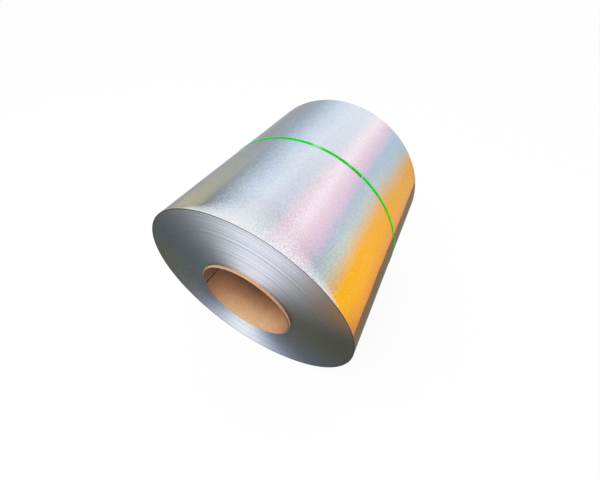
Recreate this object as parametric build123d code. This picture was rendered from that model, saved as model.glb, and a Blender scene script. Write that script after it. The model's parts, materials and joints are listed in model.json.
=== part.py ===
"""A coil of galvanised steel strip lying on its side, on a paper core and with one plastic strap.

Lengths are in millimetres and angles in degrees. The coil's axis runs along +Y, the near end is at -Y
and +Z is up. The origin is on the floor, below the middle of the axis. An angle round the axis starts
at the top and grows towards +X.
"""

import math
import os

from build123d import *

# Steel strip, as wound.
coil_diameter = 1170.0
strip_width = 1150.0
strip_thickness = 0.6
tail_angle = 71.0

# Bands of turns that stand a little in or out at the two ends.
band_height = 8.0
band_shift = 0.6
band_wave = 5.0
band_ripple = 1.7

# Paper core, a wound tube that is a little longer than the strip is wide.
core_bore = 508.0
core_wall = 8.0
core_overhang = 11.0
core_edge_bevel = 1.0
core_clearance = 0.3
seam_angle = -90.0
seam_width = 5.0
seam_depth = 2.5

# Plastic strap with its ends lapped and welded.
strap_width = 16.0
strap_thickness = 0.9
strap_clearance = 0.2
strap_from_near_end = 612.0
strap_lap_start = 22.0
strap_lap_angle = 12.0

# Radii and heights that follow from the sizes above.
coil_radius = coil_diameter / 2
bore_radius = core_bore / 2
core_radius = bore_radius + core_wall
eye_radius = core_radius + core_clearance
strap_inner_radius = coil_radius + strap_clearance
axis_height = strap_inner_radius + strap_thickness
near_end = -strip_width / 2
strap_middle = near_end + strap_from_near_end


def around(angle, radius):
    """A point of the XZ plane at an angle and a radius round the axis."""
    turn = math.radians(angle)
    return (radius * math.sin(turn), radius * math.cos(turn))


def shift(band):
    """How far one band of turns stands towards the far end, at both of its edges."""
    return band_shift * (math.sin(band / band_wave) + math.sin(band / band_ripple) / 2)


def wound_bands():
    """All turns but the outermost band, turned from one profile with a step at each band."""
    space = coil_radius - eye_radius
    count = max(2, round(space / band_height))
    radii = [eye_radius + space * band / count for band in range(count)]
    near = []
    far = []
    for band, (low, high) in enumerate(zip(radii, radii[1:])):
        near += [(low, near_end + shift(band)), (high, near_end + shift(band))]
        far += [(low, -near_end + shift(band)), (high, -near_end + shift(band))]
    profile = make_face(Polyline(*near, *reversed(far), close=True))
    return revolve(profile, Axis.Y), radii[-1], shift(count - 1)


def outer_band(inner_radius, band_place):
    """The outermost band. Its surface is a spiral that drops by one strip thickness at the tail edge."""
    steps = 24
    points = []
    for step in range(steps + 1):
        radius = coil_radius - strip_thickness * (1 - step / steps)
        points.append(around(tail_angle + 360 * step / steps, radius))
    spiral = Spline(*points)
    tail = Line(spiral @ 1, spiral @ 0)
    ring = make_face([spiral, tail]) - Circle(inner_radius)
    band = extrude(ring, strip_width / 2, both=True)
    return Pos(0, band_place, 0) * Rot(90, 0, 0) * band


def steel_coil():
    """The wound strip as one solid with its bore."""
    bands, inner_radius, band_place = wound_bands()
    return bands + outer_band(inner_radius, band_place)


def paper_core():
    """The core tube, bevelled at its ends, with the open seam of its inner ply along the bore."""
    length = strip_width + 2 * core_overhang
    tube = Cylinder(core_radius, length) - Cylinder(bore_radius, length)
    rims = tube.edges().filter_by(GeomType.CIRCLE)
    tube = chamfer(rims, core_edge_bevel)
    tube = Rot(90, 0, 0) * tube
    slot = Box(seam_width, length, 2 * seam_depth)
    seam = Rot(0, seam_angle, 0) * Pos(0, 0, bore_radius) * slot
    return tube - seam


def strap():
    """The strap, a closed band with a second layer where its two ends are welded."""
    band = Pos(strap_inner_radius + strap_thickness / 2, 0) * Rectangle(strap_thickness, strap_width)
    ring = revolve(band, Axis.Y)
    second = Pos(strap_thickness, 0, 0) * band
    lap = Rot(0, strap_lap_start - 90, 0) * revolve(second, Axis.Y, strap_lap_angle)
    return Pos(0, strap_middle, 0) * (ring + lap)


def main():
    """Raise each piece to its height above the floor and write it."""
    os.makedirs("parts", exist_ok=True)
    pieces = {"steel_coil": steel_coil(), "paper_core": paper_core(), "strap": strap()}
    for name, piece in pieces.items():
        export_step(Pos(0, 0, axis_height) * piece, f"parts/{name}.step")


main()
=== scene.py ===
"""A coil of hot-dip galvanised sheet, wound on a paper core and held by one plastic strap.

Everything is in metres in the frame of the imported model: the coil's axis lies along +Y, the near end is
at -Y and +Z is up. An angle round the axis starts at the top and grows towards +X.
"""

import json
import math
import random

import bmesh
import bpy
from bpy.props import FloatProperty, FloatVectorProperty, IntProperty, PointerProperty
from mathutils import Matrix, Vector


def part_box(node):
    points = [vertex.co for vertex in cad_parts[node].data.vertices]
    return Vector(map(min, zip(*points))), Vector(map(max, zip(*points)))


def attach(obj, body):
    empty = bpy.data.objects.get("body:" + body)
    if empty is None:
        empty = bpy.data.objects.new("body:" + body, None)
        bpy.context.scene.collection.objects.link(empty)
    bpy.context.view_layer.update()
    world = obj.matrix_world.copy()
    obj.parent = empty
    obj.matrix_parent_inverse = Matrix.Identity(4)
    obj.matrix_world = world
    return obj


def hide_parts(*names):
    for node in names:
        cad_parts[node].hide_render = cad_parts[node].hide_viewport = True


bl_info = {
    "name": "Galvanised steel coil",
    "version": (1, 0, 0),
    "blender": (4, 5, 0),
    "location": "View3D > Sidebar > Steel Coil",
    "description": "Builds a strapped coil of galvanised sheet on its paper core",
    "category": "Add Mesh",
}

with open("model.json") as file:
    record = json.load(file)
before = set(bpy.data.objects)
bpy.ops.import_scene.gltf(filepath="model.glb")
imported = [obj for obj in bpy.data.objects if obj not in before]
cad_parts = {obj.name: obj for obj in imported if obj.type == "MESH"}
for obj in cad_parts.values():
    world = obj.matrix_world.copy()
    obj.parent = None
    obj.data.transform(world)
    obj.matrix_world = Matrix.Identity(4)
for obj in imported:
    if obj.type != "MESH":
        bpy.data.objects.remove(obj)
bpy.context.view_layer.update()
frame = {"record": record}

bore_mount = next(mount for mount in frame["record"]["mounts"] if mount["name"] == "bore")
axis_height = bore_mount["pos_m"][2]
core_bore = 2 * bore_mount["dims"]["r_mm"] / 1000
core_low, core_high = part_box("paper_core")
strap_low, strap_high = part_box("strap")


def linear(code):
    """An sRGB hex colour as linear red, green, blue and alpha."""
    values = [int(code[place : place + 2], 16) / 255 for place in (1, 3, 5)]
    return [v / 12.92 if v <= 0.04045 else ((v + 0.055) / 1.055) ** 2.4 for v in values] + [1.0]


WHITE = linear("#FFFFFF")

# Waves of the tail edge: radians per metre and share of the whole.
TAIL_WAVES = ((9.0, 1.0), (31.0, 0.7))

# Waves of the slack outer turn: radians per metre and waves once round.
SLACK_WAVES = ((7.0, 3), (17.0, -5))

# Sizes and colours


def length(name, description, metres):
    """A length that a user can change."""
    return FloatProperty(name=name, description=description, default=metres, unit="LENGTH", precision=5)


def angle(name, description, degrees):
    """An angle that a user can change, from degrees."""
    return FloatProperty(name=name, description=description, default=math.radians(degrees), subtype="ANGLE")


def tint(name, description, code):
    """A colour that a user can change, from a hex value."""
    colour = linear(code)
    return FloatVectorProperty(name=name, description=description, default=colour, size=4, subtype="COLOR")


class StripSizes(bpy.types.PropertyGroup):
    """Sizes of the wound strip."""

    diameter: length("Diameter", "Outside of the coil", 1.17)
    width: length("Strip width", "Length along the axis", 1.15)
    thickness: length("Strip thickness", "Step at the tail edge", 0.0006)
    eye: length("Eye", "Hole that the core fills", 0.5246)
    band_count: IntProperty(name="Bands", description="Bands of turns on each end", default=80, min=8)
    band_shift: length("Band shift", "How far bands stand in or out", 0.0006)
    band_jitter: length("Band jitter", "Unevenness of the bands", 0.0003)
    slow_band: length("Slow wave", "Distance over which the bands drift slowly", 0.04)
    quick_band: length("Quick wave", "Distance over which they drift quickly", 0.0136)
    lip: length("Outer lip", "Height of the outermost laps", 0.0016)
    lip_gap: length("Lip gap", "Height of the loose lap below", 0.0024)
    loose_lap: length("Loose lap", "How far the lap below the lip is pushed along", 0.0015)
    tail: angle("Tail edge", "Where the outermost turn ends", 71)
    tail_wave: angle("Tail wave", "Waviness of the tail edge", 0.3)
    tail_lift: length("Tail lift", "Spring of the tail edge", 0.0005)
    slack: length("Slack", "Waviness of the outer turn", 0.00015)
    held: length("Held", "How far beside its middle the strap holds the turn down", 0.02)
    freed: length("Freed", "Where beside the strap the turn is quite free", 0.15)
    facets: IntProperty(name="Facets", description="Faces round the coil", default=256, min=32)
    rows: IntProperty(name="Rows", description="Faces along the outer surface", default=32, min=1)


class CoreSizes(bpy.types.PropertyGroup):
    """Sizes of the paper core."""

    bore: length("Bore", "Inside of the core", core_bore)
    wall: length("Wall", "Thickness of the core", 0.008)
    worn_edge: length("Worn edge", "Rounding of the cut ends", 0.001)
    fray: length("Fray", "Unevenness of the cut ends", 0.0003)
    seam: angle("Seam", "Where the inner ply meets itself", -90)
    seam_width: length("Seam width", "Gap of the inner ply", 0.005)
    seam_depth: length("Seam depth", "Thickness of the inner ply", 0.0025)
    facets: IntProperty(name="Facets", description="Faces round the core", default=240, min=24)


class StrapSizes(bpy.types.PropertyGroup):
    """Sizes of the strap."""

    width: length("Width", "Width of the strap", strap_high.y - strap_low.y)
    middle: length("Middle", "Place along the axis", (strap_high.y + strap_low.y) / 2)
    thickness: length("Thickness", "Thickness of the strap", 0.0009)
    gap: length("Gap", "Space between coil and strap", 0.00009)
    lap_start: angle("Lap start", "Where the second layer begins", 22)
    lap: angle("Lap", "Length of the second layer", 12)
    climb: angle("Climb", "Where the strap rises onto itself", 2)
    weld: angle("Weld", "Length of the weld", 3)
    grip: angle("Grip mark", "Where the tensioner scuffed it", 8)
    lap_skew: length("Lap skew", "How far the upper layer lies aside", 0.0015)
    end_lift: length("End lift", "Spring of the free end", 0.0008)
    rounding: length("Rounding", "Rounding of the strap's edges", 0.0002)
    facets: IntProperty(name="Facets", description="Faces round the strap", default=360, min=32)


class ZincTints(bpy.types.PropertyGroup):
    """Painted tints of the oiled zinc, in their order round the coil."""

    # Pale and dull are painted light and painted shade on the sides of the coil.
    pale: tint("Pale zinc", "Lit sides of the coil", "#B8BEC5")
    dull: tint("Dull zinc", "Dark sides of the coil", "#767C7C")
    # The bands from olive to tawny are painted reflections of the surroundings.
    olive: tint("Olive", "Oil film low on the left", "#A8A68F")
    slate: tint("Slate", "Grey band on the left", "#888F96")
    dusk: tint("Dusk", "Blue grey band before the top", "#97A7B6")
    sky: tint("Sky", "Blue band at the top", "#C9D7E8")
    glare: tint("Glare", "Lightest band", "#DDE4ED")
    haze: tint("Haze", "Greyish light band near the end", "#D0D3DF")
    rose: tint("Rose", "Pink band", "#EED4E1")
    blush: tint("Blush", "Lightest pink", "#F8E9F2")
    mauve: tint("Mauve", "Edge of the pink band", "#E1CBDF")
    steel: tint("Steel blue", "Blue grey band after the pink", "#BBC5D3")
    azure: tint("Azure", "Bluer band after the pink, further along", "#ADC4D6")
    mint: tint("Mint", "Pale green band", "#C8D5D3")
    amber: tint("Amber", "Orange band near the end", "#FFB91C")
    orange: tint("Orange", "Lower edge of the orange band near the end", "#F5A000")
    ochre: tint("Ochre", "Orange band further along", "#E3A428")
    tawny: tint("Tawny", "Orange band by the tail edge", "#CE8A16")
    # Bronze and moss are painted shade below the tail edge.
    bronze: tint("Bronze", "Sheet below the tail edge", "#84570F")
    moss: tint("Moss", "Sheet low on the right", "#48420F")
    # Zinc painted paler along the near rim.
    pale_rim: tint("Scuffed zinc", "Along the near rim", "#F4F5F8")


class Finishes(bpy.types.PropertyGroup):
    """Colours of the edges, the paper, the strap and the floor."""

    # The edge colours are the painted highlight and painted shade of the fan.
    edge_bright: tint("Bright edges", "Slit edges where they catch light, above", "#EAEDF8")
    edge_white: tint("White edges", "Slit edges where they catch most light, below", "#F2F9FF")
    edge_blue: tint("Blue edges", "Slit edges beside those", "#C9D6FF")
    edge_cool: tint("Cool edges", "Slit edges in the shade, upper left", "#293C41")
    edge_olive: tint("Olive edges", "Slit edges in the shade, far left", "#434535")
    edge_warm: tint("Warm edges", "Slit edges in the shade, right", "#2F301C")
    # Painted reflection of orange light on the outer laps.
    edge_reflected_orange: tint("Brown edges", "Brownish outer laps", "#97692C")
    # Painted shade on the outermost laps, over the gap under the loose turn.
    edge_gap_shade: tint("Lap gap", "Dark line inside the rim", "#25272A")
    fan: angle("Fan", "Where the edges catch the light", 16)
    paper: tint("Kraft paper", "Inside of the core", "#FDCD9C")
    # Painted shade in the bore, darker the further into the core.
    paper_dim: tint("Worn paper", "A little way into the core", "#DAA076")
    paper_brown: tint("Brown paper", "Further into the core", "#B07E5D")
    paper_dark: tint("Dusty paper", "Deep inside the core", "#54433A")
    paper_out: tint("Outer paper", "Outside of the core", "#DCAC88")
    paper_cut: tint("Cut paper", "Ends of the core", "#DFA880")
    paper_shade: tint("Seam shade", "Bottom of the core's seam", "#2A1C18")
    strap: tint("Strap", "Green of the strap", "#00D41C")
    strap_edge: tint("Strap edge", "Green along the strap's edges", "#00BC14")
    strap_weld: tint("Weld", "Strap whitened by its weld", "#8DEBA6")
    floor: tint("Floor", "Studio floor", "#F8F8F8")


class Stage(bpy.types.PropertyGroup):
    """Sizes and levels of the studio."""

    camera_right: length("Camera right", "From the axis", 0.5673)
    camera_back: length("Camera back", "In front of the near end", 0.4779)
    camera_height: length("Camera height", "Above floor", 1.8296)
    camera_turn: angle("Camera turn", "To the left of +Y", 27.82)
    camera_tilt: angle("Camera tilt", "Below the horizon", 48.34)
    lens: FloatProperty(name="Lens", description="On a 36 mm sensor", default=16.18, unit="CAMERA")
    world: FloatProperty(name="World", description="Strength of the surroundings", default=0.92, min=0)
    key_power: FloatProperty(name="Key lamp", description="Above the near end", default=155.0, unit="POWER")
    key_size: length("Key size", "Width of the key lamp", 5.0)
    key_place: FloatVectorProperty(
        name="Key place", description="Where the key lamp hangs", default=(-0.9, -2.5, 6.6),
        subtype="TRANSLATION",
    )
    side_power: FloatProperty(name="Side lamp", description="Low on the left", default=7.0, unit="POWER")
    side_size: length("Side size", "Width of the side lamp", 2.5)
    side_place: FloatVectorProperty(
        name="Side place", description="Where the side lamp hangs", default=(-3.4, -1.6, 2.4),
        subtype="TRANSLATION",
    )
    floor_width: length("Floor", "Width of the floor", 120.0)
    floor_glow: FloatProperty(
        name="Floor glow", description="Share of the floor seen as plain white", default=0.88, min=0, max=1
    )


class CoilSettings(bpy.types.PropertyGroup):
    """All settings of the coil."""

    strip: PointerProperty(type=StripSizes, name="Strip", description="Wound strip")
    core: PointerProperty(type=CoreSizes, name="Core", description="Paper core")
    strap: PointerProperty(type=StrapSizes, name="Strap", description="Plastic strap")
    zinc: PointerProperty(type=ZincTints, name="Zinc", description="Tints of the sheet")
    finish: PointerProperty(type=Finishes, name="Finishes", description="Other colours")
    stage: PointerProperty(type=Stage, name="Stage", description="Camera, lamps and floor")


# Mesh helpers

# Points nearer than this are one point, and edges sharper than this stay sharp.
SAME_POINT = 1e-6
SHARP_EDGE = math.radians(25)


def at(turn, radius, along):
    """The point at an angle round the axis, a distance from it and a place along it."""
    return (radius * math.sin(turn), along, axis_height + radius * math.cos(turn))


def smooth_step(low, high, value):
    """0 below low, 1 above high and a soft rise between."""
    share = min(1.0, max(0.0, (value - low) / (high - low)))
    return share * share * (3 - 2 * share)


def wrap(columns, closed):
    """Points and faces of a skin through columns of points, each column a closed loop."""
    count = len(columns[0])
    points = [point for column in columns for point in column]
    faces = []
    for place in range(len(columns) if closed else len(columns) - 1):
        here = place * count
        there = (place + 1) % len(columns) * count
        for row in range(count):
            after = (row + 1) % count
            faces.append((here + row, here + after, there + after, there + row))
    return points, faces


def make_piece(name, points, faces, node, materials, steep=1.0):
    """A clean, smoothed piece in the place of a node.

    Its second material goes on the faces that look along the axis by more than steep.
    """
    mesh = bpy.data.meshes.new(name)
    mesh.from_pydata(points, [], faces)
    work = bmesh.new()
    work.from_mesh(mesh)
    bmesh.ops.remove_doubles(work, verts=work.verts, dist=SAME_POINT)
    bmesh.ops.dissolve_degenerate(work, edges=work.edges, dist=SAME_POINT)
    bmesh.ops.recalc_face_normals(work, faces=work.faces)
    work.to_mesh(mesh)
    work.free()
    mesh.shade_smooth()
    mesh.set_sharp_from_angle(angle=SHARP_EDGE)
    for material in materials:
        mesh.materials.append(material)
    for face in mesh.polygons:
        face.material_index = 1 if abs(face.normal.y) > steep else 0
    piece = bpy.data.objects.new(name, mesh)
    bpy.context.scene.collection.objects.link(piece)
    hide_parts(node)
    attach(piece, "root")
    return piece


# Node helpers

# Places of the colour inputs of a Mix node.
MIX_LOW = 6
MIX_HIGH = 7


def add(tree, kind, inputs=None, stops=(), **settings):
    """Add a node with its settings, its links or values, and the colours or greys of a ramp.

    Inputs go by name or place. A map range takes its value, the range that it comes from and the range that
    it goes to. A link from a node starts at the first output that its settings leave in use.
    """
    node = tree.nodes.new(kind)
    for key, value in settings.items():
        setattr(node, key, value)
    for key, value in (inputs or {}).items():
        if isinstance(value, bpy.types.Node):
            value = next(socket for socket in value.outputs if socket.enabled)
        if isinstance(value, bpy.types.NodeSocket):
            tree.links.new(value, node.inputs[key])
        else:
            node.inputs[key].default_value = value
    for place, (position, value) in enumerate(stops):
        elements = node.color_ramp.elements
        if place < len(elements):
            elements[place].position = position
        else:
            elements.new(position)
        elements[place].color = (value, value, value, 1.0) if isinstance(value, float) else value
    return node


def new_material(name):
    """An empty node material and its tree."""
    material = bpy.data.materials.new(name)
    material.use_nodes = True
    material.node_tree.nodes.clear()
    return material, material.node_tree


def round_the_axis(tree):
    """Sockets for the place, the turn round the axis, the distance from it and the way along it."""
    place = add(tree, "ShaderNodeTexCoord").outputs["Object"]
    parts = add(tree, "ShaderNodeSeparateXYZ", {0: place}).outputs
    up = add(tree, "ShaderNodeMath", {0: parts["Z"], 1: axis_height}, operation="SUBTRACT")
    turn = add(tree, "ShaderNodeMath", {0: parts["X"], 1: up}, operation="ARCTAN2")
    across = add(tree, "ShaderNodeCombineXYZ", {"X": parts["X"], "Z": up})
    radius = add(tree, "ShaderNodeVectorMath", {0: across}, operation="LENGTH")
    return place, turn, radius, parts["Y"]


def round_stops(*bands):
    """Stops at angles in degrees, for a ramp that runs once round the axis from the bottom."""
    return [((degrees + 180) / 360, value) for degrees, value in bands]


# Materials


def galvanised_sheet():
    """Hot-dip galvanised steel sheet, skin-passed and oiled.

    The soft bands of light round the coil, with their tints, are painted reflections, painted by the angle
    round the axis. Each zinc spangle leans its own way, so the bands break up into grains where they meet.
    """
    material, tree = new_material("hot_dip_galvanised_sheet")
    settings = bpy.context.scene.coil
    zinc = settings.zinc
    near_end = -settings.strip.width / 2
    place, turn, _, along = round_the_axis(tree)

    # Spangle 5 mm across. The skin-pass grain is too fine to show and is drawn 3.5 mm coarse.
    cells = add(tree, "ShaderNodeTexVoronoi", {"Vector": place, "Scale": 1 / 0.005})
    spangle = add(tree, "ShaderNodeSeparateColor", {0: cells.outputs["Color"]}).outputs
    grain = add(tree, "ShaderNodeTexNoise", {"Vector": place, "Scale": 1 / 0.0035, "Detail": 1.0})

    # Each spangle leans by up to 1.5 degrees, and the bands wander a little along the coil.
    lean = add(tree, "ShaderNodeMapRange", {0: spangle["Green"], 3: -0.026, 4: 0.026})
    drift = add(tree, "ShaderNodeTexNoise", {"Vector": place, "Scale": 2.5, "Detail": 2.0})
    wander = add(tree, "ShaderNodeMapRange", {0: drift, 1: 0.3, 2: 0.7, 3: -0.02, 4: 0.02})
    leaned = add(tree, "ShaderNodeMath", {0: turn, 1: lean}, operation="ADD")
    leaned = add(tree, "ShaderNodeMath", {0: leaned, 1: wander}, operation="ADD")
    soft = add(tree, "ShaderNodeMapRange", {0: leaned, 1: -math.pi, 2: math.pi})

    # Painted reflections: the tints by angle round the axis, at the near end and further along.
    near_bands = round_stops(
        (-180, zinc.pale), (-115, zinc.dull), (-60, zinc.pale), (-44, zinc.pale), (-33, zinc.dull),
        (-25, zinc.olive), (-15, zinc.olive), (-11, zinc.slate), (0, zinc.sky), (6, zinc.glare),
        (12, zinc.haze), (16, zinc.haze), (20, zinc.rose), (24.5, zinc.blush), (28.5, zinc.rose),
        (33, zinc.mauve), (37, zinc.steel), (41.5, zinc.mint), (51, zinc.amber), (59, zinc.amber),
        (67, zinc.orange), (72, zinc.tawny), (110, zinc.dull), (150, zinc.pale), (180, zinc.pale),
    )
    far_bands = round_stops(
        (-180, zinc.pale), (-115, zinc.dull), (-60, zinc.pale), (-44, zinc.pale), (-31, zinc.slate),
        (-23, zinc.slate), (-12, zinc.dusk), (0, zinc.sky), (8, zinc.glare), (19, zinc.glare),
        (24, zinc.blush), (31, zinc.mauve), (37.5, zinc.azure), (44, zinc.azure), (56, zinc.ochre),
        (67, zinc.ochre), (72, zinc.tawny), (110, zinc.dull), (150, zinc.pale), (180, zinc.pale),
    )
    near = add(tree, "ShaderNodeValToRGB", {0: soft}, stops=near_bands)
    far = add(tree, "ShaderNodeValToRGB", {0: soft}, stops=far_bands)
    on_left = add(
        tree, "ShaderNodeMapRange", {0: turn, 1: math.radians(-10), 2: math.radians(40), 3: 1.0, 4: 0.0}
    )
    left_depth = add(tree, "ShaderNodeMapRange", {0: along, 1: near_end + 0.05, 2: near_end + 0.6})
    right_depth = add(tree, "ShaderNodeMapRange", {0: along, 1: near_end + 0.25, 2: near_end + 1.1})
    depth = add(tree, "ShaderNodeMix", {0: on_left, 2: right_depth, 3: left_depth})
    tone = add(tree, "ShaderNodeMix", {0: depth, MIX_LOW: near, MIX_HIGH: far}, data_type="RGBA")

    # Painted shade: the painted orange reflection turns darker and browner towards both rims.
    inset = add(tree, "ShaderNodeMath", {0: along}, operation="ABSOLUTE")
    rims = add(tree, "ShaderNodeMapRange", {0: inset, 1: -near_end - 0.09, 2: -near_end, 3: 0.0, 4: 0.35})
    lower = add(tree, "ShaderNodeMapRange", {0: leaned, 1: math.radians(56), 2: math.radians(68)})
    orange_rim_shade = add(tree, "ShaderNodeMath", {0: rims, 1: lower}, operation="MULTIPLY")
    tone = add(tree, "ShaderNodeMix", {0: orange_rim_shade, MIX_LOW: tone, MIX_HIGH: zinc.bronze}, data_type="RGBA")

    # Below the tail edge the next turn lies in its shade and shows darker tones.
    tail = settings.strip.tail
    waves = []
    for count, share in TAIL_WAVES:
        wave = add(tree, "ShaderNodeMath", {0: along, 1: count}, operation="MULTIPLY")
        wave = add(tree, "ShaderNodeMath", {0: wave}, operation="SINE")
        height = settings.strip.tail_wave * share
        waves.append(add(tree, "ShaderNodeMath", {0: wave, 1: height}, operation="MULTIPLY"))
    wave = add(tree, "ShaderNodeMath", {0: waves[0], 1: waves[1]}, operation="ADD")
    past = add(tree, "ShaderNodeMath", {0: turn, 1: wave}, operation="SUBTRACT")
    under = add(tree, "ShaderNodeMapRange", {0: past, 1: tail, 2: tail + math.radians(10)})
    shaded = add(
        tree, "ShaderNodeMix", {0: under, MIX_LOW: zinc.bronze, MIX_HIGH: zinc.moss}, data_type="RGBA"
    )
    cut_edge = 0.001
    begins = add(tree, "ShaderNodeMath", {0: past, 1: tail + cut_edge}, operation="GREATER_THAN")
    fades = add(
        tree, "ShaderNodeMapRange", {0: turn, 1: math.radians(84), 2: math.radians(104), 3: 1.0, 4: 0.0}
    )
    below = add(tree, "ShaderNodeMath", {0: begins, 1: fades}, operation="MULTIPLY")
    tone = add(tree, "ShaderNodeMix", {0: below, MIX_LOW: tone, MIX_HIGH: shaded}, data_type="RGBA")

    # Painted shade: the tints are painted darker near the near rim, except on the orange and the olive.
    near_rim_shade = add(
        tree, "ShaderNodeMapRange", {0: along, 1: near_end + 0.05, 2: near_end + 0.2, 3: 0.87, 4: 1.0}
    )
    orange = add(tree, "ShaderNodeMapRange", {0: leaned, 1: math.radians(42), 2: math.radians(50)})
    shade_tint = add(tree, "ShaderNodeMath", {0: near_rim_shade, 1: orange}, operation="MAXIMUM")
    olive = add(tree, "ShaderNodeMapRange", {0: leaned, 1: math.radians(-9), 2: math.radians(-14)})
    shade_tint = add(tree, "ShaderNodeMath", {0: shade_tint, 1: olive}, operation="MAXIMUM")
    tone = add(
        tree, "ShaderNodeMix", {0: 1.0, MIX_LOW: tone, MIX_HIGH: shade_tint}, data_type="RGBA",
        blend_type="MULTIPLY",
    )

    # Zinc painted paler along the near rim, broken up by the grain on the right.
    # It reaches furthest in at the top.
    reaches = round_stops(
        (-22, 0.001), (-13, 0.03), (1, 0.13), (9, 0.16), (16, 0.12), (26, 0.085), (45, 0.036), (55, 0.001)
    )
    reach = add(tree, "ShaderNodeValToRGB", {0: soft}, stops=reaches)
    inward = add(tree, "ShaderNodeMath", {0: along, 1: near_end}, operation="SUBTRACT")
    rim = add(tree, "ShaderNodeMapRange", {0: inward, 1: 0.0, 2: reach, 3: 0.95, 4: 0.0})
    specks = add(tree, "ShaderNodeMapRange", {0: grain, 1: 0.38, 2: 0.62, 3: 0.15, 4: 1.2})
    speckled = add(
        tree, "ShaderNodeMapRange", {0: leaned, 1: math.radians(8), 2: math.radians(24), 3: 0.1, 4: 0.9}
    )
    patchy = add(tree, "ShaderNodeMix", {0: speckled, 2: 0.85, 3: specks})
    pale_rim = add(tree, "ShaderNodeMath", {0: rim, 1: patchy}, operation="MULTIPLY")
    tone = add(tree, "ShaderNodeMix", {0: pale_rim, MIX_LOW: tone, MIX_HIGH: zinc.pale_rim}, data_type="RGBA")

    # Light and dark spangles. Their grain shows most near the rim on the right.
    shade = add(tree, "ShaderNodeMapRange", {0: spangle["Red"], 3: 0.96, 4: 1.05})
    near_depth = add(tree, "ShaderNodeMapRange", {0: speckled, 3: 0.04, 4: 0.15})
    depth = add(
        tree, "ShaderNodeMapRange", {0: along, 1: near_end + 0.1, 2: near_end + 0.45, 3: near_depth, 4: 0.05}
    )
    swing = add(tree, "ShaderNodeMapRange", {0: grain, 1: 0.3, 2: 0.7, 3: -1.0, 4: 1.0})
    fine = add(tree, "ShaderNodeMath", {0: swing, 1: depth, 2: 1.0}, operation="MULTIPLY_ADD")
    grains = add(tree, "ShaderNodeMath", {0: shade, 1: fine}, operation="MULTIPLY")
    tone = add(
        tree, "ShaderNodeMix", {0: 1.0, MIX_LOW: tone, MIX_HIGH: grains}, data_type="RGBA",
        blend_type="MULTIPLY",
    )
    tone = add(
        tree, "ShaderNodeMix", {0: 0.1, MIX_LOW: tone, MIX_HIGH: cells.outputs["Color"]}, data_type="RGBA",
        blend_type="OVERLAY",
    )

    # The shaded turn gives back less light at a glancing angle. Each spangle has a gloss and a height.
    glance = add(tree, "ShaderNodeMapRange", {0: below, 3: 1.0, 4: 0.82})
    gloss = add(tree, "ShaderNodeMapRange", {0: spangle["Blue"], 3: 0.36, 4: 0.5})
    bump = add(tree, "ShaderNodeBump", {"Height": spangle["Red"], "Strength": 0.06, "Distance": 0.0004})
    metal = {"Base Color": tone, "Metallic": 1.0, "Roughness": gloss, "Specular Tint": glance, "Normal": bump}
    shader = add(tree, "ShaderNodeBsdfPrincipled", metal)
    add(tree, "ShaderNodeOutputMaterial", {"Surface": shader})
    return material


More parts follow.
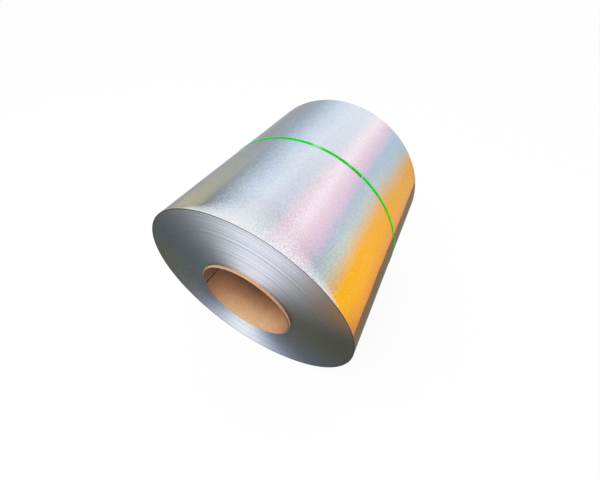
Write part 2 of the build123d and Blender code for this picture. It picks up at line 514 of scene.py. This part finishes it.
def slit_edges():
    """Slit edges of the strip, wound side by side into a flat ring.

    The turns act like fine grooves, so light from above draws a bright fan across them and leaves the
    sides dark. Here the fan is painted into the colour, as a painted highlight and painted shade. Single
    turns are 0.6 mm and too fine to show, so they are drawn in clusters of 5 to 15 mm.
    """
    material, tree = new_material("slit_galvanised_edges")
    settings = bpy.context.scene.coil
    finish = settings.finish
    outside = settings.strip.diameter / 2
    place, turn, radius, _ = round_the_axis(tree)

    # The painted highlight of the fan: brightest across the grooves, darkest along them, with a wide faint
    # skirt. Below the core it is wider and turned a little.
    upward = add(tree, "ShaderNodeMath", {0: turn}, operation="COSINE")
    above = add(tree, "ShaderNodeMapRange", {0: upward, 1: -0.4, 2: 0.4})
    centre = add(tree, "ShaderNodeMapRange", {0: above, 3: finish.fan - math.radians(3), 4: finish.fan})
    away = add(tree, "ShaderNodeMath", {0: turn, 1: centre}, operation="SUBTRACT")
    facing = add(tree, "ShaderNodeMath", {0: away}, operation="COSINE")
    facing = add(tree, "ShaderNodeMath", {0: facing}, operation="ABSOLUTE")
    narrow = add(tree, "ShaderNodeMapRange", {0: above, 3: 9.0, 4: 12.0})
    glint = add(tree, "ShaderNodeMath", {0: facing, 1: narrow}, operation="POWER")
    skirt = add(tree, "ShaderNodeMath", {0: facing, 1: 3.0}, operation="POWER")
    fan = add(tree, "ShaderNodeMix", {0: 0.3, 2: glint, 3: skirt})

    # Clusters of turns, a little out of round, that shine more or less in the painted highlight.
    round_noise = add(tree, "ShaderNodeTexNoise", {"Vector": place, "Scale": 3.0, "Detail": 1.0})
    out_of_round = add(tree, "ShaderNodeMapRange", {0: round_noise, 3: -0.001, 4: 0.001})
    true_radius = add(tree, "ShaderNodeMath", {0: radius, 1: out_of_round}, operation="ADD")
    rings = add(
        tree, "ShaderNodeTexNoise", {"W": true_radius, "Scale": 1 / 0.014, "Detail": 2.0, "Roughness": 0.6},
        noise_dimensions="1D",
    )
    streaks = add(tree, "ShaderNodeMapRange", {0: rings, 1: 0.3, 2: 0.7, 3: 0.62, 4: 1.26})
    streaked = add(tree, "ShaderNodeMath", {0: glint, 1: streaks}, operation="MULTIPLY")
    lit = add(tree, "ShaderNodeMix", {0: 0.3, 2: streaked, 3: skirt})

    # The painted shade of the dark sides: cool on the left, olive in blotches on the outer laps at the far
    # left, warm on the right.
    side = add(
        tree, "ShaderNodeMapRange", {0: turn, 1: 0.0, 2: math.radians(58)}, interpolation_type="SMOOTHSTEP"
    )
    back = add(
        tree, "ShaderNodeMapRange", {0: turn, 1: math.radians(95), 2: math.radians(140), 3: 1.0, 4: 0.0},
        interpolation_type="SMOOTHSTEP",
    )
    warm = add(tree, "ShaderNodeMath", {0: side, 1: back}, operation="MULTIPLY")
    blotches = add(tree, "ShaderNodeTexNoise", {"Vector": place, "Scale": 1 / 0.05, "Detail": 3.0})
    outward = add(tree, "ShaderNodeMapRange", {0: radius, 1: 0.3, 2: 0.5})
    sideways = add(tree, "ShaderNodeMath", {0: turn}, operation="SINE")
    far_left = add(tree, "ShaderNodeMapRange", {0: sideways, 1: -0.77, 2: -0.98})
    shade_tint = add(tree, "ShaderNodeMath", {0: outward, 1: blotches}, operation="MULTIPLY")
    shade_tint = add(tree, "ShaderNodeMath", {0: shade_tint, 1: far_left}, operation="MULTIPLY")
    shade_tint = add(tree, "ShaderNodeMapRange", {0: shade_tint, 1: 0.0, 2: 0.55})
    left = add(
        tree, "ShaderNodeMix", {0: shade_tint, MIX_LOW: finish.edge_cool, MIX_HIGH: finish.edge_olive},
        data_type="RGBA",
    )
    dark = add(tree, "ShaderNodeMix", {0: warm, MIX_LOW: left, MIX_HIGH: finish.edge_warm}, data_type="RGBA")

    # Oil and dust mottle the dark sides, in specks of 12 mm.
    mottle = add(
        tree, "ShaderNodeTexNoise", {"Vector": place, "Scale": 1 / 0.012, "Detail": 3.0, "Roughness": 0.7}
    )
    dark = add(
        tree, "ShaderNodeMix", {0: 0.9, MIX_LOW: dark, MIX_HIGH: mottle.outputs["Color"]}, data_type="RGBA",
        blend_type="OVERLAY",
    )

    # The painted highlight on the lit edges, bluer below the core than above it.
    below = add(
        tree, "ShaderNodeMix", {0: fan, MIX_LOW: finish.edge_blue, MIX_HIGH: finish.edge_white},
        data_type="RGBA",
    )
    bright = add(
        tree, "ShaderNodeMix", {0: above, MIX_LOW: below, MIX_HIGH: finish.edge_bright}, data_type="RGBA"
    )
    tone = add(tree, "ShaderNodeMix", {0: lit, MIX_LOW: dark, MIX_HIGH: bright}, data_type="RGBA")

    # A painted reflection of orange light makes the outer laps brownish on the upper right.
    once_round = add(tree, "ShaderNodeMapRange", {0: turn, 1: -math.pi, 2: math.pi})
    right = round_stops((32, 0.0), (58, 0.75), (76, 0.0))
    spot = add(tree, "ShaderNodeValToRGB", {0: once_round}, stops=right)
    outer = add(tree, "ShaderNodeMapRange", {0: radius, 1: 0.42, 2: outside})
    orange_reflection = add(tree, "ShaderNodeMath", {0: spot, 1: outer}, operation="MULTIPLY")
    tone = add(tree, "ShaderNodeMix", {0: orange_reflection, MIX_LOW: tone, MIX_HIGH: finish.edge_reflected_orange}, data_type="RGBA")

    # Painted shade: a dark ring on the outermost laps, from the gap under the loose outermost turn
    # out to the rim.
    gap = add(
        tree, "ShaderNodeMapRange", {0: radius, 1: outside - 0.0065, 2: outside - 0.0045, 3: 0.0, 4: 0.85}
    )
    tone = add(tree, "ShaderNodeMix", {0: gap, MIX_LOW: tone, MIX_HIGH: finish.edge_gap_shade}, data_type="RGBA")

    # The outer laps of the dark sides give back less light at a glancing angle than bare zinc does.
    lap_glance = add(tree, "ShaderNodeMapRange", {0: outward, 3: 1.0, 4: 0.86})
    glance = add(tree, "ShaderNodeMapRange", {0: lit, 1: 0.0, 2: 0.4, 3: lap_glance, 4: 1.0})
    tangent = add(tree, "ShaderNodeTangent", direction_type="RADIAL", axis="Y")
    bump = add(tree, "ShaderNodeBump", {"Height": rings, "Strength": 0.06, "Distance": 0.0005})
    metal = {"Base Color": tone, "Metallic": 1.0, "Roughness": 0.46, "Specular Tint": glance, "Normal": bump}
    grooves = {"Anisotropic": 0.3, "Anisotropic Rotation": 0.25, "Tangent": tangent}
    shader = add(tree, "ShaderNodeBsdfPrincipled", {**metal, **grooves})
    add(tree, "ShaderNodeOutputMaterial", {"Surface": shader})
    return material


def kraft_paper():
    """Kraft paper wound and glued into a tube. It is matt, with faint fibres and a dark open seam."""
    material, tree = new_material("wound_kraft_paper")
    settings = bpy.context.scene.coil
    finish = settings.finish
    core = settings.core
    place, turn, radius, along = round_the_axis(tree)
    inside = add(
        tree, "ShaderNodeMath", {0: radius, 1: core.bore / 2 + 0.6 * core.wall}, operation="LESS_THAN"
    )

    # Painted shade: the bore is painted darker and browner away from its mouths and up its walls.
    off_middle = add(tree, "ShaderNodeMath", {0: along}, operation="ABSOLUTE")
    half = (core_high.y - core_low.y) / 2
    deep = add(
        tree, "ShaderNodeMapRange", {0: off_middle, 1: half - 0.31, 2: half - 0.03, 3: 1.0, 4: 0.0},
        interpolation_type="SMOOTHSTEP",
    )
    once_round = add(tree, "ShaderNodeMapRange", {0: turn, 1: -math.pi, 2: math.pi})
    walls = round_stops(
        (-160, 0.0), (-140, 0.08), (-120, 0.3), (-100, 0.6), (-80, 0.85), (-60, 0.85), (60, 0.85), (90, 0.7),
        (120, 0.38), (140, 0.2), (165, 0.04),
    )
    steep = add(tree, "ShaderNodeValToRGB", {0: once_round}, stops=walls)
    bore_shade = add(tree, "ShaderNodeMix", {0: deep, 2: steep, 3: 1.0})
    papers = (
        (0.0, finish.paper), (0.3, finish.paper_dim), (0.6, finish.paper_brown), (1.0, finish.paper_dark)
    )
    shaded_paper = add(tree, "ShaderNodeValToRGB", {0: bore_shade}, stops=papers)
    tone = add(
        tree, "ShaderNodeMix", {0: inside, MIX_LOW: finish.paper_out, MIX_HIGH: shaded_paper}, data_type="RGBA"
    )

    # Painted shade in the open seam of the inner ply, reaching onto its lips.
    off_seam = add(tree, "ShaderNodeMath", {0: turn, 1: core.seam}, operation="SUBTRACT")
    off_seam = add(tree, "ShaderNodeMath", {0: off_seam}, operation="ABSOLUTE")
    lip = core.seam_width / core.bore
    seam = add(tree, "ShaderNodeMapRange", {0: off_seam, 1: 1.2 * lip, 2: 2.2 * lip, 3: 1.0, 4: 0.0})
    seam = add(tree, "ShaderNodeMath", {0: seam, 1: inside}, operation="MULTIPLY")
    tone = add(tree, "ShaderNodeMix", {0: seam, MIX_LOW: tone, MIX_HIGH: finish.paper_shade}, data_type="RGBA")

    # Flocks of fibres, 9 mm across. Single fibres of 2 mm are too fine to show.
    fibres = add(
        tree, "ShaderNodeTexNoise", {"Vector": place, "Scale": 1 / 0.009, "Detail": 6.0, "Roughness": 0.65}
    )
    shade = add(tree, "ShaderNodeMapRange", {0: fibres, 1: 0.3, 2: 0.7, 3: 0.82, 4: 1.1})
    tone = add(
        tree, "ShaderNodeMix", {0: 1.0, MIX_LOW: tone, MIX_HIGH: shade}, data_type="RGBA",
        blend_type="MULTIPLY",
    )
    tone = add(
        tree, "ShaderNodeMix", {0: 0.2, MIX_LOW: tone, MIX_HIGH: fibres.outputs["Color"]}, data_type="RGBA",
        blend_type="OVERLAY",
    )
    bump = add(tree, "ShaderNodeBump", {"Height": fibres, "Strength": 0.2, "Distance": 0.0005})
    shader = add(tree, "ShaderNodeBsdfPrincipled", {"Base Color": tone, "Roughness": 0.85, "Normal": bump})
    add(tree, "ShaderNodeOutputMaterial", {"Surface": shader})
    return material


def cut_plies():
    """Cut end of the paper tube.

    Its plies show as fine rings and its fibres are fuzzy. Real plies are 0.5 mm, and these are drawn 1.3 mm
    apart so that they show.
    """
    material, tree = new_material("cut_kraft_plies")
    finish = bpy.context.scene.coil.finish
    core = bpy.context.scene.coil.core
    place, turn, radius, _ = round_the_axis(tree)
    plies = add(
        tree, "ShaderNodeTexNoise", {"W": radius, "Scale": 1 / 0.0013, "Detail": 1.0}, noise_dimensions="1D"
    )
    fuzz = add(tree, "ShaderNodeTexNoise", {"Vector": place, "Scale": 1 / 0.010, "Detail": 4.0})
    rings = add(tree, "ShaderNodeMapRange", {0: plies, 1: 0.3, 2: 0.7, 3: 0.82, 4: 1.04})
    flecks = add(tree, "ShaderNodeMapRange", {0: fuzz, 1: 0.3, 2: 0.7, 3: 0.84, 4: 1.05})
    shade = add(tree, "ShaderNodeMath", {0: rings, 1: flecks}, operation="MULTIPLY")

    # The cut ends are darker on the two sides.
    beside = add(tree, "ShaderNodeMath", {0: turn}, operation="SINE")
    beside = add(tree, "ShaderNodeMath", {0: beside}, operation="ABSOLUTE")
    side_darkening = add(tree, "ShaderNodeMapRange", {0: beside, 1: 0.65, 2: 1.0, 3: 0.0, 4: 0.9})
    tone = add(
        tree, "ShaderNodeMix", {0: side_darkening, MIX_LOW: finish.paper_cut, MIX_HIGH: finish.paper_dark},
        data_type="RGBA",
    )

    # Painted shade: a dark line on the innermost plies, strongest at the top.
    inmost = core.bore / 2
    glued = add(
        tree, "ShaderNodeMapRange", {0: radius, 1: inmost + 0.0025, 2: inmost + 0.0045, 3: 1.0, 4: 0.0}
    )
    upward = add(tree, "ShaderNodeMath", {0: turn}, operation="COSINE")
    above = add(tree, "ShaderNodeMapRange", {0: upward, 1: -0.6, 2: 0.3, 3: 0.1, 4: 0.85})
    inner_shade = add(tree, "ShaderNodeMath", {0: glued, 1: above}, operation="MULTIPLY")
    tone = add(tree, "ShaderNodeMix", {0: inner_shade, MIX_LOW: tone, MIX_HIGH: finish.paper_shade}, data_type="RGBA")
    tone = add(
        tree, "ShaderNodeMix", {0: 1.0, MIX_LOW: tone, MIX_HIGH: shade}, data_type="RGBA",
        blend_type="MULTIPLY",
    )
    bump = add(tree, "ShaderNodeBump", {"Height": shade, "Strength": 0.3, "Distance": 0.0005})
    shader = add(tree, "ShaderNodeBsdfPrincipled", {"Base Color": tone, "Roughness": 0.9, "Normal": bump})
    add(tree, "ShaderNodeOutputMaterial", {"Surface": shader})
    return material


def polyester_strapping():
    """Extruded polyester strapping with a rolled waffle pattern.

    It is a clean matt green, whitened where its ends are friction welded and cut.
    """
    material, tree = new_material("embossed_polyester_strapping")
    settings = bpy.context.scene.coil
    finish = settings.finish
    strap = settings.strap
    place, turn, _, along = round_the_axis(tree)

    # Painted shade: darker green towards the edges.
    aside = add(tree, "ShaderNodeMath", {0: along, 1: strap.middle}, operation="SUBTRACT")
    aside = add(tree, "ShaderNodeMath", {0: aside}, operation="ABSOLUTE")
    edge = add(tree, "ShaderNodeMapRange", {0: aside, 1: 0.3 * strap.width, 2: 0.5 * strap.width})
    tone = add(
        tree, "ShaderNodeMix", {0: edge, MIX_LOW: finish.strap, MIX_HIGH: finish.strap_edge},
        data_type="RGBA",
    )

    # Whitened by the weld, the tensioner's grip and the cut. Each has its middle, how far from it the white is
    # full, where it ends and how strong it is.
    marks = (
        (strap.lap_start + strap.lap / 3, 0.4 * strap.weld, 0.5 * strap.weld, 0.25),
        (strap.grip, 0.3 * strap.weld, strap.weld, 0.7),
        (strap.lap_start + strap.lap, 0.004, 0.008, 0.9),
    )
    pale = 0.0
    for middle, full, faded, strength in marks:
        off = add(tree, "ShaderNodeMath", {0: turn, 1: middle}, operation="SUBTRACT")
        off = add(tree, "ShaderNodeMath", {0: off}, operation="ABSOLUTE")
        mark = add(tree, "ShaderNodeMapRange", {0: off, 1: full, 2: faded, 3: strength, 4: 0.0})
        pale = add(tree, "ShaderNodeMath", {0: pale, 1: mark}, operation="MAXIMUM")
    tone = add(tree, "ShaderNodeMix", {0: pale, MIX_LOW: tone, MIX_HIGH: finish.strap_weld}, data_type="RGBA")

    # Uneven green, in patches of 50 mm.
    haze = add(tree, "ShaderNodeTexNoise", {"Vector": place, "Scale": 1 / 0.05, "Detail": 3.0})
    shade = add(tree, "ShaderNodeMapRange", {0: haze, 1: 0.3, 2: 0.7, 3: 0.86, 4: 1.06})
    tone = add(
        tree, "ShaderNodeMix", {0: 1.0, MIX_LOW: tone, MIX_HIGH: shade}, data_type="RGBA",
        blend_type="MULTIPLY",
    )

    # A waffle of 2 mm, from waves round the coil and along it.
    pitch = 0.002
    outside = settings.strip.diameter / 2
    waves = []
    for way, count in ((turn, math.tau * outside / pitch), (along, math.tau / pitch)):
        wave = add(tree, "ShaderNodeMath", {0: way, 1: count}, operation="MULTIPLY")
        waves.append(add(tree, "ShaderNodeMath", {0: wave}, operation="SINE"))
    waffle = add(tree, "ShaderNodeMath", {0: waves[0], 1: waves[1]}, operation="MULTIPLY")
    bump = add(tree, "ShaderNodeBump", {"Height": waffle, "Strength": 0.2, "Distance": 0.0001})

    # The pattern scatters its shine, so it shows none.
    matt = {"Roughness": 0.35, "IOR": 1.57, "Specular IOR Level": 0.0}
    shader = add(tree, "ShaderNodeBsdfPrincipled", {"Base Color": tone, "Normal": bump, **matt})
    add(tree, "ShaderNodeOutputMaterial", {"Surface": shader})
    return material


# Pieces


def band_offset(radius, sizes):
    """How far the turns at a radius stand towards the far end, a slow wave as in the solid."""
    out = radius - sizes.eye / 2
    return sizes.band_shift * (math.sin(out / sizes.slow_band) + math.sin(out / sizes.quick_band) / 2)


class COIL_OT_strip(bpy.types.Operator):
    """Build the wound strip with its stepped ends and its tail edge"""

    bl_idname = "coil.strip"
    bl_label = "Wound strip"

    def execute(self, context):
        settings = context.scene.coil
        sizes = settings.strip
        last_turn = sizes.diameter / 2 - sizes.thickness
        near_end = -sizes.width / 2
        ends = self.bands(sizes, last_turn)
        columns = []
        for facet in range(sizes.facets + 1):
            share = facet / sizes.facets
            turn = sizes.tail + share * math.tau
            column = []
            for low, high, shift in ends:
                column += [at(turn, low, near_end + shift), at(turn, high, near_end + shift)]
            for row in range(sizes.rows + 1):
                along = near_end + sizes.width * row / sizes.rows
                radius, turned = self.surface(settings, share, along)
                column.append(at(turn + turned, radius, along))
            for low, high, shift in reversed(ends):
                column += [at(turn, high, shift - near_end), at(turn, low, shift - near_end)]
            columns.append(column)
        points, faces = wrap(columns, closed=True)
        materials = [galvanised_sheet(), slit_edges()]
        make_piece("wound_strip", points, faces, "steel_coil", materials, steep=0.5)
        return {"FINISHED"}

    def bands(self, sizes, last_turn):
        """Inner radius, outer radius and shift of each band of turns, out to the lip."""
        chance = random.Random(7)
        eye = sizes.eye / 2
        lip = last_turn - sizes.lip
        full = lip - sizes.lip_gap
        bands = []
        for band in range(sizes.band_count):
            low = eye + (full - eye) * band / sizes.band_count
            high = eye + (full - eye) * (band + 1) / sizes.band_count
            shift = band_offset((low + high) / 2, sizes) + chance.uniform(-1, 1) * sizes.band_jitter
            bands.append((low, high, shift))
        bands.append((full, lip, sizes.loose_lap))
        bands.append((lip, last_turn, 0.0))
        return bands

    def surface(self, settings, share, along):
        """Radius of the outer turn, and how far the tail edge wanders, at a share of the turn."""
        sizes = settings.strip
        strap = settings.strap
        free = smooth_step(sizes.held, sizes.freed, abs(along - strap.middle))
        wave = sum(math.sin(count * along + round_it * math.tau * share) for count, round_it in SLACK_WAVES)
        radius = sizes.diameter / 2 - sizes.thickness * (1 - share)
        at_tail = min(share, 1 - share)
        past_tail = smooth_step(0.0, 0.02, at_tail)
        radius -= sizes.slack * free * (1 + 0.5 * wave) * past_tail
        radius += sizes.tail_lift * free * smooth_step(0.985, 1.0, share)
        wander = sizes.tail_wave * sum(share * math.sin(count * along) for count, share in TAIL_WAVES)
        return radius, wander * (1 - past_tail)


class COIL_OT_core(bpy.types.Operator):
    """Build the paper core with its worn ends and its open seam"""

    bl_idname = "coil.core"
    bl_label = "Paper core"

    def execute(self, context):
        sizes = context.scene.coil.core
        inner = sizes.bore / 2
        chance = random.Random(11)
        half_seam = sizes.seam_width / 2 / inner
        start = sizes.seam + half_seam
        finish = sizes.seam - half_seam + math.tau
        step = (finish - start) / sizes.facets
        turns = [(start + step * facet, inner) for facet in range(sizes.facets + 1)]
        behind = inner + sizes.seam_depth
        turns += [(finish, behind), (sizes.seam + math.tau, behind), (start + math.tau, behind)]
        columns = []
        for turn, bore in turns:
            profile = self.profile(sizes, bore, chance)
            columns.append([at(turn, radius, along) for radius, along in profile])
        points, faces = wrap(columns, closed=True)
        materials = [kraft_paper(), cut_plies()]
        make_piece("wound_paper_core", points, faces, "paper_core", materials, steep=0.3)
        return {"FINISHED"}

    def profile(self, sizes, bore, chance):
        """The wall cut through along the axis, with worn and slightly frayed corners."""
        outer = sizes.bore / 2 + sizes.wall
        near = core_low.y
        far = core_high.y
        cut = sizes.worn_edge
        bite = chance.uniform(0, sizes.fray)
        far_bite = chance.uniform(0, sizes.fray)
        return [
            (bore, far - cut), (bore, far - 10 * cut), (bore, near + 10 * cut), (bore, near + cut),
            (bore + 0.3 * cut, near + 0.3 * cut + bite),
            (bore + cut, near + bite), (outer - cut, near), (outer - 0.3 * cut, near + 0.3 * cut),
            (outer, near + cut), (outer, near + 10 * cut), (outer, far - 10 * cut), (outer, far - cut),
            (outer - 0.3 * cut, far - 0.3 * cut), (outer - cut, far),
            (bore + cut, far - far_bite), (bore + 0.3 * cut, far - 0.3 * cut - far_bite),
        ]


class COIL_OT_strap(bpy.types.Operator):
    """Build the strap, with one end lapped over the other and welded"""

    bl_idname = "coil.strap"
    bl_label = "Plastic strap"

    def execute(self, context):
        settings = context.scene.coil
        sizes = settings.strap
        inner = settings.strip.diameter / 2 + sizes.gap
        full = math.tau + sizes.lap
        count = round(sizes.facets * full / math.tau)
        half = sizes.width / 2
        rounding = sizes.rounding
        columns = []
        for facet in range(count + 1):
            gone = full * facet / count
            upper = smooth_step(math.tau - sizes.climb, math.tau, gone)
            free_end = smooth_step(full - sizes.lap / 3, full, gone)
            low = inner + sizes.thickness * upper + sizes.end_lift * free_end
            high = low + sizes.thickness
            aside = smooth_step(math.tau - 4 * sizes.climb, full, gone) - 0.5
            middle = sizes.middle - sizes.lap_skew * aside
            profile = [
                (low, -half + rounding), (low + rounding, -half), (high - rounding, -half),
                (high, -half + rounding), (high, half - rounding), (high - rounding, half),
                (low + rounding, half), (low, half - rounding),
            ]
            columns.append([at(sizes.lap_start + gone, radius, middle + along) for radius, along in profile])
        points, faces = wrap(columns, closed=False)
        corners = len(columns[0])
        faces.append(tuple(range(corners)))
        faces.append(tuple(range(len(points) - corners, len(points))))
        make_piece("polyester_strap", points, faces, "strap", [polyester_strapping()])
        return {"FINISHED"}


class COIL_OT_stage(bpy.types.Operator):
    """Set up the floor, the soft light and the camera"""

    bl_idname = "coil.stage"
    bl_label = "Studio"

    def execute(self, context):
        scene = context.scene
        values = scene.coil.stage
        near_end = -scene.coil.strip.width / 2

        camera = bpy.data.objects.new("camera", bpy.data.cameras.new("camera"))
        camera.data.sensor_width = 36.0
        camera.data.lens = values.lens
        camera.location = (values.camera_right, near_end - values.camera_back, values.camera_height)
        camera.rotation_euler = (math.pi / 2 - values.camera_tilt, 0.0, values.camera_turn)
        scene.collection.objects.link(camera)
        scene.camera = camera
        scene.view_settings.view_transform = "Standard"

        self.light_surroundings(scene, values)
        self.lay_floor(scene, values)
        self.hang_lamp(scene, "key", values.key_power, values.key_size, values.key_place)
        self.hang_lamp(scene, "side", values.side_power, values.side_size, values.side_place)
        return {"FINISHED"}

    def seen(self, tree):
        """1 for rays from the camera, metal and glass, which all see a white studio."""
        path = add(tree, "ShaderNodeLightPath").outputs
        both = add(
            tree, "ShaderNodeMath", {0: path["Is Camera Ray"], 1: path["Is Glossy Ray"]}, operation="MAXIMUM"
        )
        return add(tree, "ShaderNodeMath", {0: both, 1: path["Is Transmission Ray"]}, operation="MAXIMUM")

    def light_surroundings(self, scene, values):
        """An even pale world."""
        world = bpy.data.worlds.new("studio")
        scene.world = world
        world.use_nodes = True
        tree = world.node_tree
        tree.nodes.clear()
        strength = add(tree, "ShaderNodeMapRange", {0: self.seen(tree), 3: values.world, 4: 1.0})
        light = add(tree, "ShaderNodeBackground", {"Color": WHITE, "Strength": strength})
        add(tree, "ShaderNodeOutputWorld", {"Surface": light})

    def lay_floor(self, scene, values):
        """A wide pale floor that keeps the coil's soft shadow."""
        half = values.floor_width / 2
        mesh = bpy.data.meshes.new("floor")
        corners = [(-half, -half, 0.0), (half, -half, 0.0), (half, half, 0.0), (-half, half, 0.0)]
        mesh.from_pydata(corners, [], [(0, 1, 2, 3)])
        floor = bpy.data.objects.new("floor", mesh)
        scene.collection.objects.link(floor)
        material, tree = new_material("matt_floor_paint")
        paint = {"Base Color": scene.coil.finish.floor, "Roughness": 0.9}
        shader = add(tree, "ShaderNodeBsdfPrincipled", paint)
        glow = add(tree, "ShaderNodeEmission", {"Color": WHITE, "Strength": 1.0})
        share = add(tree, "ShaderNodeMath", {0: self.seen(tree), 1: values.floor_glow}, operation="MULTIPLY")
        surface = add(tree, "ShaderNodeMixShader", {0: share, 1: shader, 2: glow})
        add(tree, "ShaderNodeOutputMaterial", {"Surface": surface})
        mesh.materials.append(material)

    def hang_lamp(self, scene, name, power, size, place):
        """A square soft lamp that points at the coil.

        It lights matt surfaces only, so it burns no spot into the metal.
        """
        lamp = bpy.data.lights.new(name, "AREA")
        lamp.shape = "SQUARE"
        lamp.size = size
        lamp.energy = power
        holder = bpy.data.objects.new(name, lamp)
        holder.location = place
        holder.visible_glossy = False
        way = holder.location - Vector((0.0, 0.0, axis_height))
        holder.rotation_euler = way.to_track_quat("Z", "Y").to_euler()
        scene.collection.objects.link(holder)


class COIL_PT_panel(bpy.types.Panel):
    """Settings and steps of the coil"""

    bl_label = "Steel Coil"
    bl_idname = "COIL_PT_panel"
    bl_space_type = "VIEW_3D"
    bl_region_type = "UI"
    bl_category = "Steel Coil"

    def draw(self, context):
        settings = context.scene.coil
        for part in ("strip", "core", "strap", "zinc", "finish", "stage"):
            group = getattr(settings, part)
            box = self.layout.box()
            for name in group.__annotations__:
                box.prop(group, name)
        for step in STEPS:
            self.layout.operator(step.bl_idname)


STEPS = (COIL_OT_stage, COIL_OT_strip, COIL_OT_core, COIL_OT_strap)
GROUPS = (StripSizes, CoreSizes, StrapSizes, ZincTints, Finishes, Stage, CoilSettings)
CLASSES = GROUPS + STEPS + (COIL_PT_panel,)


def register():
    """Add the settings, steps and panel."""
    for item in CLASSES:
        bpy.utils.register_class(item)
    bpy.types.Scene.coil = PointerProperty(type=CoilSettings, name="Coil", description="Settings of the coil")


def unregister():
    """Take the settings, steps and panel away again."""
    del bpy.types.Scene.coil
    for item in reversed(CLASSES):
        bpy.utils.unregister_class(item)


def main():
    """Build the coil and its stage."""
    register()
    bpy.ops.coil.stage()
    bpy.ops.coil.strip()
    bpy.ops.coil.core()
    bpy.ops.coil.strap()
    bpy.context.view_layer.update()


if __name__ == "__main__":
    main()
